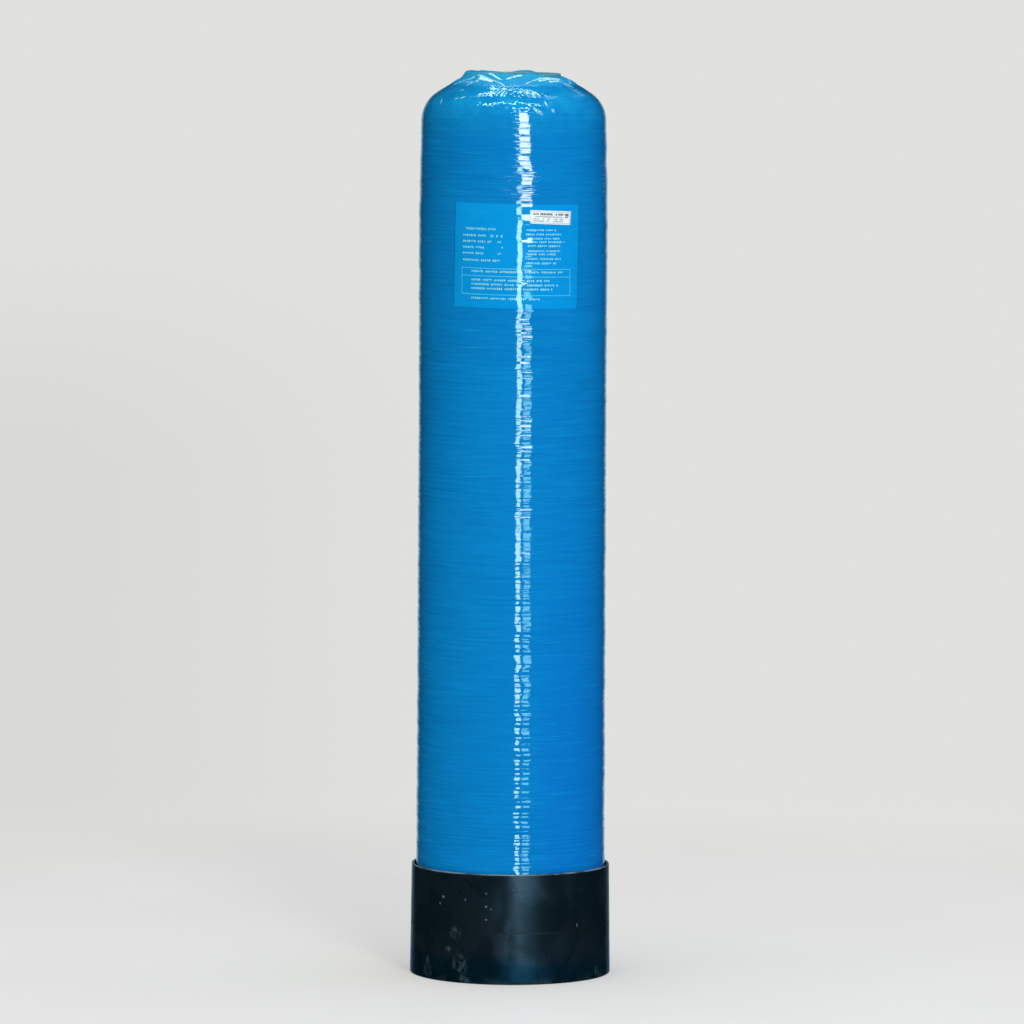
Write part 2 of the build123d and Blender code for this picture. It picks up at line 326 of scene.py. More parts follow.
def build_shell(mat):
    P, n_dome = profile()
    rz, zone = P[:, :2], P[:, 2]
    tang = np.gradient(rz, axis=0)
    tang /= np.linalg.norm(tang, axis=1)[:, None]
    normal = np.stack([-tang[:, 1], tang[:, 0]], axis=1)
    normal[normal[:, 0] < -0.2] *= -1
    FINE, COARSE = 240, 80
    verts, rings = [], []

    def ring(points, count):
        start = sum(len(v) for v in verts)
        verts.append(points)
        rings.append((start, count))

    def polar(r, z, count):
        th = 2 * PI * np.arange(count) / count
        r = np.broadcast_to(r, (count,))
        z = np.broadcast_to(z, (count,))
        return np.stack([r * np.sin(th), -r * np.cos(th), z], axis=1)

    th_f = 2 * PI * np.arange(FINE) / FINE
    th_c = 2 * PI * np.arange(COARSE) / COARSE
    top = H + crest_height(th_f)
    # hidden faces round the inlet's neck and flange, then the wall beside the lip
    zi = float(crown_z(66.0, RT_C, RK_TI, CROWN_TI, ZT, 1))
    ring(polar(66.0, zi, FINE), FINE)
    ring(polar(66.0, zi + 0.95, FINE), FINE)
    ring(polar(45.5, H - 8.0, FINE), FINE)
    ring(polar(45.5, H - 3.05, FINE), FINE)
    ring(polar(51.86, H - 3.05, FINE), FINE)
    ring(polar(51.90, np.maximum(top - 0.9, H - 2.95), FINE), FINE)
    for k in range(n_dome):
        r, z = rz[k]
        n = normal[k]
        out_r, out_z = outer(th_f, r, z, n[0], n[1])
        ring(polar(out_r, out_z, FINE), FINE)
    for k in range(n_dome, len(P)):
        r, z = rz[k]
        if zone[k] == 2:
            fade = float(smooth(100.0, 119.0, z))
            rise = body_relief(th_c, np.full(COARSE, z)) * fade
            mix = float(smooth(ZT - 26, ZT + 10, z))
            if mix > 0:
                rise = rise * (1 - mix) + dome_relief(th_c, r, z)
            ring(polar(r + rise, z, COARSE), COARSE)
        else:
            ring(polar(r, z, COARSE), COARSE)
    # inside: pole hole, bottom head, body, top head, back to the flange
    ins = []
    jr, jz = junction(RB_C, RK_BI, CROWN_BI, ZB, -1)
    for r in np.linspace(9.0, jr, 8):
        ins.append((r, float(crown_z(r, RB_C, RK_BI, CROWN_BI, ZB, -1))))
    a1 = math.atan2(ZB - jz, jr - RB_C)
    for i in range(1, 7):
        a = a1 * (1 - i / 6)
        ins.append((RB_C + RK_BI * math.cos(a), ZB - RK_BI * math.sin(a)))
    ins.append((101.1, Z_SH))
    ins.append((RT_C + RK_TI, ZT))
    jr, jz = junction(RT_C, RK_TI, CROWN_TI, ZT, 1)
    a1 = math.atan2(jz - ZT, jr - RT_C)
    for i in range(1, 7):
        a = a1 * i / 6
        ins.append((RT_C + RK_TI * math.cos(a), ZT + RK_TI * math.sin(a)))
    for r, z in ins:
        ring(polar(r, z, COARSE), COARSE)

    faces = []

    def join(ra, rb):
        (sa, ca), (sb, cb) = ra, rb
        if ca == cb:
            for j in range(ca):
                k = (j + 1) % ca
                faces.append((sa + j, sb + j, sb + k, sa + k))
        elif ca == 3 * cb:
            for j in range(cb):
                k = (j + 1) % cb
                f0, f1, f2, f3 = sa + 3 * j, sa + 3 * j + 1, sa + 3 * j + 2, sa + (3 * j + 3) % ca
                faces.extend([(f0, sb + j, f1), (f1, sb + j, sb + k), (f1, sb + k, f2), (f2, sb + k, f3)])
        else:
            for j in range(ca):
                k = (j + 1) % ca
                f0, f1, f2, f3 = sb + 3 * j, sb + 3 * j + 1, sb + 3 * j + 2, sb + (3 * j + 3) % cb
                faces.extend([(sa + j, f0, f1), (sa + j, f1, sa + k), (sa + k, f1, f2), (sa + k, f2, f3)])

    for i in range(len(rings)):
        join(rings[i], rings[(i + 1) % len(rings)])
    V = np.concatenate(verts)
    o = mesh_object("frp_shell_wound", V, faces, [mat])
    print("shell", len(V), "verts", sum(len(f) - 2 for f in faces), "triangles")
    return o


# ------------------------------------------------------------------ materials
class Net:
    """A material's node tree, with short calls for the nodes used here."""

    def __init__(self, name):
        self.mat = bpy.data.materials.new(name)
        self.mat.use_nodes = True
        self.tree = self.mat.node_tree
        self.tree.nodes.clear()
        self.out = self.tree.nodes.new("ShaderNodeOutputMaterial")
        self.bsdf = self.tree.nodes.new("ShaderNodeBsdfPrincipled")
        self.tree.links.new(self.bsdf.outputs[0], self.out.inputs[0])
        self.co = self.tree.nodes.new("ShaderNodeTexCoord").outputs["Object"]

    def set(self, **kw):
        for k, v in kw.items():
            sock = self.bsdf.inputs[k.replace("_", " ")]
            if hasattr(v, "links") or isinstance(v, bpy.types.NodeSocket):
                self.tree.links.new(v, sock)
            else:
                sock.default_value = v if not isinstance(v, tuple) or len(v) == 4 else (*v, 1.0)

    def put(self, sock, v):
        if isinstance(v, bpy.types.NodeSocket):
            self.tree.links.new(v, sock)
        elif isinstance(v, tuple) and len(v) == 3 and len(sock.default_value) == 4:
            sock.default_value = (*v, 1.0)
        else:
            sock.default_value = v

    def math(self, op, a, b=0.0, c=0.0, clamp=False):
        n = self.tree.nodes.new("ShaderNodeMath")
        n.operation, n.use_clamp = op, clamp
        for s, v in zip(n.inputs, (a, b, c)):
            self.put(s, v)
        return n.outputs[0]

    def mul(self, a, b):
        return self.math("MULTIPLY", a, b)

    def add(self, *vs):
        out = vs[0]
        for v in vs[1:]:
            out = self.math("ADD", out, v)
        return out

    def xyz(self, v=None):
        n = self.tree.nodes.new("ShaderNodeSeparateXYZ")
        self.put(n.inputs[0], v or self.co)
        return n.outputs

    def scaled(self, sx, sy, sz, v=None, loc=(0, 0, 0)):
        n = self.tree.nodes.new("ShaderNodeMapping")
        self.put(n.inputs["Vector"], v or self.co)
        n.inputs["Scale"].default_value = (sx, sy, sz)
        n.inputs["Location"].default_value = loc
        return n.outputs[0]

    def noise(self, vec, scale=1.0, detail=2.0, rough=0.5, dist=0.0):
        n = self.tree.nodes.new("ShaderNodeTexNoise")
        self.put(n.inputs["Vector"], vec)
        n.inputs["Scale"].default_value = scale
        n.inputs["Detail"].default_value = detail
        n.inputs["Roughness"].default_value = rough
        n.inputs["Distortion"].default_value = dist
        return n.outputs[0]

    def voronoi(self, vec, scale=1.0, feature="F1", rand=1.0):
        n = self.tree.nodes.new("ShaderNodeTexVoronoi")
        n.feature = feature
        self.put(n.inputs["Vector"], vec)
        n.inputs["Scale"].default_value = scale
        n.inputs["Randomness"].default_value = rand
        return n.outputs["Distance"]

    def ramp(self, v, lo, hi, a=0.0, b=1.0, smoothly=True):
        n = self.tree.nodes.new("ShaderNodeMapRange")
        n.interpolation_type = "SMOOTHSTEP" if smoothly else "LINEAR"
        self.put(n.inputs["Value"], v)
        n.inputs["From Min"].default_value = lo
        n.inputs["From Max"].default_value = hi
        n.inputs["To Min"].default_value = a
        n.inputs["To Max"].default_value = b
        return n.outputs["Result"]

    def mix(self, f, a, b):
        n = self.tree.nodes.new("ShaderNodeMix")
        n.data_type = "RGBA"
        self.put(n.inputs[0], f)
        self.put(n.inputs[6], a)
        self.put(n.inputs[7], b)
        return n.outputs[2]

    def bump(self, height_mm, strength=1.0, normal=None):
        n = self.tree.nodes.new("ShaderNodeBump")
        n.inputs["Strength"].default_value = strength
        n.inputs["Distance"].default_value = MM
        self.put(n.inputs["Height"], height_mm)
        if normal is not None:
            self.put(n.inputs["Normal"], normal)
        return n.outputs[0]

    def turned_normal(self, x, y):
        """Round an upright wall the normal points straight away from the axis, across the facets too."""
        def vec(op, a, b=None):
            n = self.tree.nodes.new("ShaderNodeVectorMath")
            n.operation = op
            self.put(n.inputs[0], a)
            if b is not None:
                self.put(n.inputs[1], b)
            return n

        own = self.tree.nodes.new("ShaderNodeNewGeometry").outputs["Normal"]
        join = self.tree.nodes.new("ShaderNodeCombineXYZ")
        self.put(join.inputs[0], x)
        self.put(join.inputs[1], y)
        out = vec("NORMALIZE", join.outputs[0]).outputs[0]
        near = self.ramp(vec("DOT_PRODUCT", own, out).outputs["Value"], 0.975, 0.990)
        n = self.tree.nodes.new("ShaderNodeMix")
        n.data_type = "VECTOR"
        self.put(n.inputs[0], near)
        self.put(n.inputs[4], own)
        self.put(n.inputs[5], out)
        return vec("NORMALIZE", n.outputs[1]).outputs[0], near


def strand_fields(g):
    """Two families of strands, each tangent in plan to the opening."""
    x, y, z = g.xyz()
    r = g.math("SQRT", g.add(g.mul(x, x), g.mul(y, y)))
    phi = g.math("ARCTAN2", x, g.mul(y, -1.0))
    ac = g.math("ARCCOSINE", g.math("MINIMUM", g.math("DIVIDE", 0.0505, g.math("MAXIMUM", r, 0.0506)), 1.0))
    return x, y, z, r, phi, g.math("ADD", phi, ac), g.math("SUBTRACT", phi, ac)


def frp_material(name, label=False):
    g = Net(name)
    x, y, z, r, phi, up, um = strand_fields(g)
    on_body = g.ramp(z, 0.925, 0.962, 1.0, 0.0)
    on_dome = g.math("SUBTRACT", 1.0, on_body)

    # long faint streaks of the hoop strands, and clouds in the resin
    streak = g.noise(g.scaled(11, 11, 420), 1.0, 3.0, 0.6)
    streak2 = g.noise(g.scaled(20, 20, 900, loc=(3, 1, 7)), 1.0, 2.0, 0.5)
    cloud = g.noise(g.scaled(11, 11, 16), 1.0, 2.0, 0.5)
    f = g.add(g.mul(g.math("SUBTRACT", streak, 0.5), 1.1), g.mul(g.math("SUBTRACT", streak2, 0.5), 1.3),
              g.mul(g.math("SUBTRACT", cloud, 0.5), 0.7), 0.5)
    # painted shade: the resin is drawn darker low on the body
    f = g.math("SUBTRACT", f, g.ramp(z, 0.50, 0.18, 0.0, 0.16), clamp=True)
    if label:
        deep, light = (0.0018, 0.280, 0.73), (0.0034, 0.336, 0.82)
    else:
        deep, light = (0.0018, 0.180, 0.528), (0.0034, 0.256, 0.665)
    col = g.mix(f, deep, light)
    if not label:
        # painted shade: the resin is drawn a little darker and bluer low on the right
        painted_shade_low_right = g.mul(g.ramp(z, 0.62, 0.20), g.ramp(x, 0.015, 0.055))
        col = g.mix(g.mul(painted_shade_low_right, 0.50), col, (0.0025, 0.150, 0.590))
        # the winding is thick round the opening, and looks greener there
        teal = g.math("MULTIPLY", g.ramp(z, 0.984, 1.001), g.ramp(r, 0.074, 0.056))
        col = g.mix(g.mul(teal, 0.70), col, (0.008, 0.33, 0.52))
        dome_f = g.noise(g.scaled(60, 60, 60), 1.0, 3.0, 0.6)
        # painted light: the upper dome is drawn paler, in patches, higher up
        pale = g.mul(on_dome, g.ramp(z, 0.956, 0.974, 0.75, 1.5))
        col = g.mix(g.mul(pale, g.ramp(dome_f, 0.38, 0.70, 0.15, 0.55)), col, (0.009, 0.335, 0.65))
        # a few strands lie shallow and look paler
        rare = g.noise(g.scaled(16, 16, 640, loc=(8, 2, 5)), 1.0, 1.0, 0.5)
        col = g.mix(g.mul(on_body, g.ramp(rare, 0.66, 0.78, 0.0, 0.45)), col, (0.008, 0.37, 0.72))
        fan = g.math("SINE", g.mul(g.add(up, g.mul(dome_f, 0.10)), 150.0))
        fan = g.mul(g.ramp(fan, 0.2, 1.0, 0.0, 0.22), g.mul(g.ramp(z, 0.925, 0.950), g.ramp(dome_f, 0.40, 0.60)))
        col = g.mix(fan, col, (0.012, 0.36, 0.70))
        # painted highlights: white glint lines drawn as strands along the edges of the last bands
        grit = g.noise(g.scaled(620, 620, 620, loc=(7, 7, 7)), 1.0, 1.0, 0.5)
        painted_glint_strands = None
        for a_deg, q_mm, p0, p1, half, lo in (
            (-40.9, 52.6, 9, 27, 0.55, 0.30), (-46.0, 55.2, 0, 42, 0.55, 0.38), (-46.0, 57.4, 4, 25, 1.9, 0.34),
            (45.0, 55.2, -39, 2, 0.55, 0.38), (45.0, 57.6, -20, 14, 2.3, 0.42), (11.0, 54.6, -19, -2, 0.55, 0.30),
            (45.0, 62.8, -8, 9, 1.5, 0.46), (-43.8, 64.0, -14, 8, 0.8, 0.52), (-26.6, 52.0, -50, -22, 0.6, 0.44),
            # short ones, further out on the dome
            (-15.4, 67.0, -42, -39, 0.70, 0.30), (-21.2, 83.7, -36, -34, 0.70, 0.30), (-13.6, 80.8, -40, -36, 0.75, 0.30),
            (-108.7, 59.7, 71, 75, 0.50, 0.30), (-4.0, 49.7, -48, -41, 0.60, 0.34), (2.8, 44.9, -45, -39, 0.60, 0.34),
            (-25.2, 10.5, 64, 69, 0.90, 0.36), (0.4, 35.3, 58, 64, 0.90, 0.34), (26.6, 15.3, 82, 89, 0.70, 0.46),
            (-44.6, 37.9, 85, 88, 0.90, 0.34), (15.1, 97.5, 17, 19, 0.80, 0.30), (-15.0, 86.3, 46, 50, 0.80, 0.36),
            (-0.5, 95.4, 28, 32, 0.80, 0.36),
            (134, 57.0, -40, 35, 0.6, 0.46), (-139, 56.0, -30, 42, 0.6, 0.46), (98, 58.0, -35, 30, 0.7, 0.5),
        ):
            a = a_deg * D2R
            q = g.math("SUBTRACT", g.mul(x, math.sin(a)), g.mul(y, math.cos(a)))
            pp = g.math("ADD", g.mul(x, math.cos(a)), g.mul(y, math.sin(a)))
            off = g.math("ABSOLUTE", g.math("SUBTRACT", q, q_mm * MM))
            m = g.ramp(off, (half + 0.25) * MM, (half - 0.25) * MM)
            m = g.mul(m, g.mul(g.ramp(pp, (p0 - 2) * MM, (p0 + 2) * MM), g.ramp(pp, (p1 + 2) * MM, (p1 - 2) * MM)))
            m = g.mul(m, g.ramp(grit, lo, lo + 0.08))
            painted_glint_strands = m if painted_glint_strands is None else g.math("MAXIMUM", painted_glint_strands, m)
        painted_glint_strands = g.mul(painted_glint_strands, g.ramp(z, 0.955, 0.965))
        # painted highlight: the glint lines are mixed in near white
        col = g.mix(g.mul(painted_glint_strands, 0.95), col, (0.55, 0.92, 0.94))

    # strands
    h1 = g.noise(g.scaled(16, 16, 340, loc=(0, 0, 0.3)), 1.0, 1.0, 0.5)
    h2 = g.noise(g.scaled(34, 34, 760, loc=(5, 2, 1)), 1.0, 1.0, 0.5)
    h3 = g.noise(g.scaled(170, 170, 190, loc=(2, 8, 4)), 1.0, 1.0, 0.5)
    k = 0.32 if label else 1.0
    hoop = g.add(g.mul(h1, 0.12 * k), g.mul(h2, 0.045 * k), g.mul(h3, 0.10 * k))
    warp = g.noise(g.scaled(34, 34, 34, loc=(1, 2, 3)), 1.0, 2.0, 0.5)
    wv = g.mul(warp, 0.22)
    wa = g.math("SINE", g.mul(g.math("ADD", up, wv), 92.0))
    wb = g.math("SINE", g.mul(g.math("SUBTRACT", um, wv), 92.0))
    over = g.ramp(g.noise(g.scaled(70, 70, 70, loc=(9, 9, 9)), 1.0, 1.0, 0.5), 0.42, 0.58)
    weave = g.add(g.mul(wa, over), g.mul(wb, g.math("SUBTRACT", 1.0, over)))
    blob = g.noise(g.scaled(210, 210, 210, loc=(4, 4, 4)), 1.0, 1.0, 0.5)
    fine = g.noise(g.scaled(430, 430, 430, loc=(4, 1, 4)), 1.0, 1.0, 0.5)
    crown = g.mul(g.ramp(r, 0.066, 0.073, 0.10, 1.2), g.add(g.mul(weave, 0.018), g.mul(blob, 0.040), g.mul(fine, 0.055)))
    knuckle = g.mul(g.ramp(r, 0.0975, 0.1005, 1.0, 0.2), g.add(g.mul(weave, 0.050), g.mul(blob, 0.34)))
    far = g.ramp(r, 0.083, 0.089)
    dome = g.add(g.mul(crown, g.math("SUBTRACT", 1.0, far)), g.mul(knuckle, far))
    height = g.add(g.mul(hoop, on_body), g.mul(dome, on_dome))
    if not label:
        # high on the body the hoops lie flat, with narrow grooves between them
        drift = g.noise(g.scaled(10, 10, 90, loc=(2, 6, 1)), 1.0, 2.0, 0.5)
        per = g.ramp(z, 0.903, 0.907, 2 * PI / 0.0050, 2 * PI / 0.0070, False)
        turn = g.math("COSINE", g.add(g.mul(g.math("SUBTRACT", z, 0.905), per), g.mul(drift, 9.0), g.mul(phi, 1.0)))
        wide = g.ramp(z, 0.903, 0.910)
        edge = g.add(g.mul(g.ramp(turn, 0.62, 1.0), g.math("SUBTRACT", 1.0, wide)), g.mul(g.ramp(turn, -0.1, 0.9), wide))
        groove = g.mul(edge, g.mul(g.ramp(z, 0.862, 0.868), g.ramp(z, 0.966, 0.960)))
        height = g.add(height, g.mul(groove, -0.16))
        # above them the winding leans a little to one side
        span = g.math("ABSOLUTE", phi)
        lean = g.mul(g.math("SINE", g.mul(phi, 3.0)), g.mul(g.ramp(z, 0.888, 0.914), g.ramp(span, 1.04, 0.60)))
        height = g.add(height, g.mul(lean, -0.9))
        # near the base each hoop laps over the one below
        lap = g.math("FRACT", g.add(g.mul(z, 1000 / 4.6), g.add(g.mul(drift, 1.3), g.mul(phi, 0.16))))
        height = g.add(height, g.mul(g.mul(lap, -0.27), g.ramp(z, 0.176, 0.158)))
    bump = g.bump(height)
    rough = g.ramp(g.noise(g.scaled(30, 30, 60, loc=(6, 1, 2)), 1.0, 2.0, 0.5), 0.3, 0.7, 0.025, 0.06)
    g.set(Base_Color=col, Roughness=rough, Normal=bump, Coat_Normal=bump)
    if label:
        g.set(Coat_Roughness=0.03, Coat_Weight=1.0)
    else:
        # the thick winding round the opening is less glossy
        rim = g.mul(g.ramp(r, 0.0745, 0.064), g.ramp(z, 0.95, 0.96))
        g.set(Coat_Roughness=g.ramp(rim, 0.0, 1.0, 0.03, 0.30), Roughness=g.math("MAXIMUM", rough, g.mul(rim, 0.45)))
        g.set(Coat_Weight=g.ramp(rim, 0.0, 1.0, 1.0, 0.0), Specular_IOR_Level=g.ramp(rim, 0.0, 1.0, 0.5, 0.12))
    g.set(IOR=1.5, Coat_IOR=1.52)
    return g.mat


def ink_material(name, color, spread=0.35):
    g = Net(name)
    n = g.noise(g.scaled(900, 900, 900), 1.0, 2.0, 0.6)
    dark = tuple(c * (1 - spread) for c in color)
    g.set(Base_Color=g.mix(g.ramp(n, 0.35, 0.65), dark, color), Roughness=0.3,
          Normal=g.bump(g.mul(g.noise(g.scaled(90, 90, 200), 1.0, 1.0, 0.5), 0.03)))
    g.set(Coat_Weight=1.0, Coat_Roughness=0.05, Coat_IOR=1.52)
    return g.mat


def base_material():
    g = Net("moulded_black")
    x, y, z = g.xyz()
    r = g.math("SQRT", g.add(g.mul(x, x), g.mul(y, y)))
    phi = g.math("ARCTAN2", x, g.mul(y, -1.0))
    cloud = g.noise(g.scaled(14, 14, 22), 1.0, 3.0, 0.55)
    col = g.mix(g.ramp(cloud, 0.3, 0.7), (0.0002, 0.0070, 0.0090), (0.0006, 0.0104, 0.0130))
    # dust: fine specks, and a few smears low on the left
    speck = g.voronoi(g.scaled(120, 120, 120), 1.0)
    gate = g.noise(g.scaled(17, 17, 20, loc=(3, 3, 0)), 1.0, 2.0, 0.5)
    speck = g.mul(g.ramp(speck, 0.16, 0.06), g.ramp(gate, 0.56, 0.66))
    smear_n = g.noise(g.scaled(230, 230, 170, loc=(1, 5, 2)), 1.0, 4.0, 0.62)

    def spot(a_deg, z_mm, wa, wz):
        da = g.mul(g.math("SUBTRACT", phi, a_deg * D2R), 111.0 / wa)
        dz = g.mul(g.math("SUBTRACT", z, z_mm * MM), 1000.0 / wz)
        d = g.add(g.mul(da, da), g.mul(dz, dz))
        return g.ramp(d, 1.0, 0.1)

    spots = g.add(
        spot(-33, 55, 9, 8), spot(-38, 36, 5, 5), spot(-55, 21, 5, 6), spot(-55, 10, 11, 9),
        spot(-30, 20, 12, 15), spot(60, 9, 6, 7), spot(-27, 4, 9, 5), spot(150, 40, 20, 14), spot(-120, 70, 12, 9),
    )
    dots = g.add(
        spot(-42, 94, 2.6, 1.9), spot(-44.5, 86, 1.5, 1.5), spot(-26.7, 93, 1.4, 1.4), spot(-13.8, 101, 1.2, 1.2),
        spot(-13.8, 86.5, 1.5, 1.4), spot(-10.9, 83.5, 1.0, 1.0), spot(-13.8, 72, 1.5, 1.3), spot(42, 63, 1.2, 2.6),
        spot(118, 80, 1.5, 1.5), spot(-160, 55, 1.6, 1.4),
    )
    smear = g.mul(g.math("MINIMUM", spots, 1.0), g.ramp(smear_n, 0.43, 0.62))
    foot = g.mul(g.ramp(z, 0.010, 0.0005), g.ramp(g.noise(g.scaled(50, 50, 60), 1.0, 2.0, 0.5), 0.4, 0.7))
    dust = g.math("MAXIMUM", g.mul(speck, 0.55), g.math("MAXIMUM", g.mul(smear, 0.40), g.mul(foot, 0.18)))
    dust = g.math("MAXIMUM", dust, g.math("MINIMUM", dots, 1.0))
    col = g.mix(dust, col, (0.108, 0.140, 0.118))
    # painted reflection: the rim's top edge is drawn pale, patchily, where it mirrors the bright backdrop
    rim = g.mul(g.ramp(z, 0.1206, 0.1214), g.ramp(g.noise(g.scaled(60, 60, 60), 1.0, 3.0, 0.6), 0.35, 0.65, 0.12, 0.75))
    col = g.mix(rim, col, (0.30, 0.36, 0.38))
    # painted shade: the mould line is drawn darker
    line = g.ramp(g.math("ABSOLUTE", g.math("SUBTRACT", z, 0.0570)), 0.0011, 0.0006)
    col = g.mix(g.mul(line, 0.3), col, (0.0002, 0.0012, 0.0016))
    # scratches
    sc = g.noise(g.scaled(420, 420, 26, loc=(0, 4, 0)), 1.0, 1.0, 0.5)
    scratch = g.mul(g.ramp(sc, 0.735, 0.76), g.ramp(gate, 0.40, 0.62))
    col = g.mix(g.mul(scratch, 0.5), col, (0.055, 0.075, 0.08))
    wave = g.noise(g.scaled(15, 15, 9, loc=(1, 1, 1)), 1.0, 1.0, 0.5)
    flow = g.noise(g.scaled(5, 5, 190, loc=(2, 2, 2)), 1.0, 2.0, 0.5)
    grain = g.noise(g.scaled(900, 900, 900), 1.0, 2.0, 0.6)
    height = g.add(g.mul(wave, 1.9), g.mul(flow, 0.035), g.mul(grain, 0.010), g.mul(scratch, 0.02))
    sheen = g.noise(g.scaled(26, 26, 20, loc=(4, 0, 6)), 1.0, 2.0, 0.5, 0.8)
    rough = g.math("ADD", g.ramp(sheen, 0.36, 0.64, 0.22, 0.32), g.mul(dust, 0.4), clamp=True)
    g.set(Base_Color=col, Roughness=g.math("MAXIMUM", rough, g.mul(line, 0.45)))
    upright, wall = g.turned_normal(x, y)
    g.set(Normal=g.bump(height, normal=upright), Specular_IOR_Level=g.ramp(line, 0.0, 1.0, 1.0, 0.55))
    low = g.ramp(g.add(z, g.mul(cloud, 0.030)), 0.052, 0.030)
    tint = g.mix(low, (0.47, 0.58, 0.97), (0.10, 0.40, 0.92))
    g.set(Specular_Tint=g.mix(wall, (0.30, 0.36, 0.42), tint))
    g.set(IOR=2.2)
    return g.mat


def boss_material():
    g = Net("moulded_boss")
    n = g.noise(g.scaled(120, 120, 120), 1.0, 3.0, 0.6)
    ring = g.noise(g.scaled(30, 30, 700), 1.0, 2.0, 0.5)
    col = g.mix(g.ramp(n, 0.3, 0.7), (0.065, 0.290, 0.410), (0.105, 0.370, 0.490))
    g.set(Base_Color=col, Roughness=g.ramp(ring, 0.3, 0.7, 0.34, 0.48),
          Normal=g.bump(g.add(g.mul(ring, 0.03), g.mul(n, 0.03))))
    g.set(IOR=1.5)
    return g.mat


def liner_material():
    g = Net("waxy_liner")
    n = g.noise(g.scaled(18, 18, 10), 1.0, 3.0, 0.55)
    fine = g.noise(g.scaled(260, 260, 260), 1.0, 2.0, 0.5)
    col = g.mix(g.ramp(n, 0.3, 0.7), (0.50, 0.60, 0.62), (0.62, 0.70, 0.71))
    g.set(Base_Color=col, Roughness=g.ramp(n, 0.3, 0.7, 0.38, 0.5), Normal=g.bump(g.add(g.mul(n, 0.5), g.mul(fine, 0.03))))
    g.set(Subsurface_Weight=0.15)
    g.bsdf.inputs["Subsurface Radius"].default_value = (0.004, 0.005, 0.006)
    return g.mat


def glue_material():
    g = Net("set_glue")
    n = g.noise(g.scaled(120, 120, 120), 1.0, 3.0, 0.6)
    g.set(Base_Color=g.mix(g.ramp(n, 0.3, 0.7), (0.40, 0.34, 0.22), (0.56, 0.50, 0.36)), Roughness=g.ramp(n, 0.3, 0.7, 0.4, 0.6),
          Normal=g.bump(g.mul(n, 0.6)))
    return g.mat


def paper_material():
    g = Net("coated_paper")
    n = g.noise(g.scaled(500, 500, 500), 1.0, 3.0, 0.6)
    g.set(Base_Color=g.mix(g.ramp(n, 0.3, 0.7), (0.78, 0.87, 0.95), (0.86, 0.93, 1.00)), Roughness=g.ramp(n, 0.3, 0.7, 0.28, 0.4),
          Normal=g.bump(g.mul(n, 0.012)))
    g.set(IOR=1.5)
    return g.mat


# ------------------------------------------------------------------ camera
def camera():
    cam = bpy.data.cameras.new("camera")
    cam.lens, cam.sensor_width, cam.sensor_fit = CAM_F / 1024 * 36.0, 36.0, "AUTO"
    cam.clip_start, cam.clip_end = 0.1, 100.0
    o = bpy.data.objects.new("camera", cam)
    bpy.context.scene.collection.objects.link(o)
    o.matrix_world = (
        Matrix.Translation((0, -CAM_D, CAM_H))
        @ Matrix.Rotation(PI / 2 - CAM_PITCH, 4, "X")
        @ Matrix.Rotation(CAM_ROLL, 4, "Z")
    )
    bpy.context.scene.camera = o


camera()

# ------------------------------------------------------------------ the wound shell
M_FRP = frp_material("wound_resin")
shell = build_shell(M_FRP)
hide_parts("frp_shell")


def band_piece(name, a_deg, q0, w, t, r_end=84.0):
    """One of the last bands laid: a flat tape, tangent to the opening, with real edges."""
    a = a_deg * D2R
    p_end = math.sqrt(r_end**2 - q0**2)
    p = np.arange(-p_end, p_end + 0.1, 1.6)
    d = np.array([0.0, 0.10, 0.30, 0.65, 1.1, 1.8])
    u = np.concatenate([d, np.linspace(3.2, w - 3.2, 6), w - d[::-1]])
    qs = np.maximum(q0, np.sqrt(np.maximum(52.9**2 - p * p, 0)))
    qs = qs + 0.35 * np.sin(p * 0.09 + a * 5) + 0.12 * np.sin(p * 0.43 + a * 9)
    Q = qs[:, None] + u[None, :] * ((q0 + w - qs) / w)[:, None]
    Pm = np.repeat(p[:, None], len(u), axis=1)
    x = Q * math.sin(a) + Pm * math.cos(a)
    y = -Q * math.cos(a) + Pm * math.sin(a)
    r, th = np.hypot(x, y), np.arctan2(x, -y)
    z, nr, nz = dome_base(r)
    R, Z = outer(th, r, z, nr, nz)
    e = np.minimum(u, w - u)
    prof = 0.55 * np.sqrt(np.clip(1 - (1 - np.clip(e / 1.1, 0, 1)) ** 2, 0, 1)) + 0.45 * (1 - (2 * u / w - 1) ** 2)
    ridge = 1 + 0.06 * np.sin(u * 2.1 + a) * np.clip(e / 2.5, 0, 1)
    fade = 1 - smooth(r_end - 16.0, r_end - 2.0, r)
    high = t * (prof * ridge)[None, :] * fade
    top = np.stack([(R + nr * high) * np.sin(th), -(R + nr * high) * np.cos(th), Z + nz * high], -1)
    low = -0.12 - 0.25 * (1 - fade)
    bot = np.stack([(R + nr * low) * np.sin(th), -(R + nr * low) * np.cos(th), Z + nz * low], -1)
    rows, cols = Q.shape
    n = rows * cols
    idx = np.arange(n).reshape(rows, cols)
    i0, i1, i2, i3 = idx[:-1, :-1], idx[1:, :-1], idx[1:, 1:], idx[:-1, 1:]
    faces = np.stack([i0, i1, i2, i3], -1).reshape(-1, 4).tolist()
    faces += (np.stack([i3, i2, i1, i0], -1).reshape(-1, 4) + n).tolist()
    loop = np.concatenate([idx[0, :], idx[1:, -1], idx[-1, -2::-1], idx[-2:0:-1, 0]])
    nxt = np.roll(loop, -1)
    faces += np.stack([nxt, nxt + n, loop + n, loop], -1).tolist()
    V = np.concatenate([top.reshape(-1, 3), bot.reshape(-1, 3)])
    o = mesh_object(name, V, [f[::-1] for f in faces], [M_FRP])


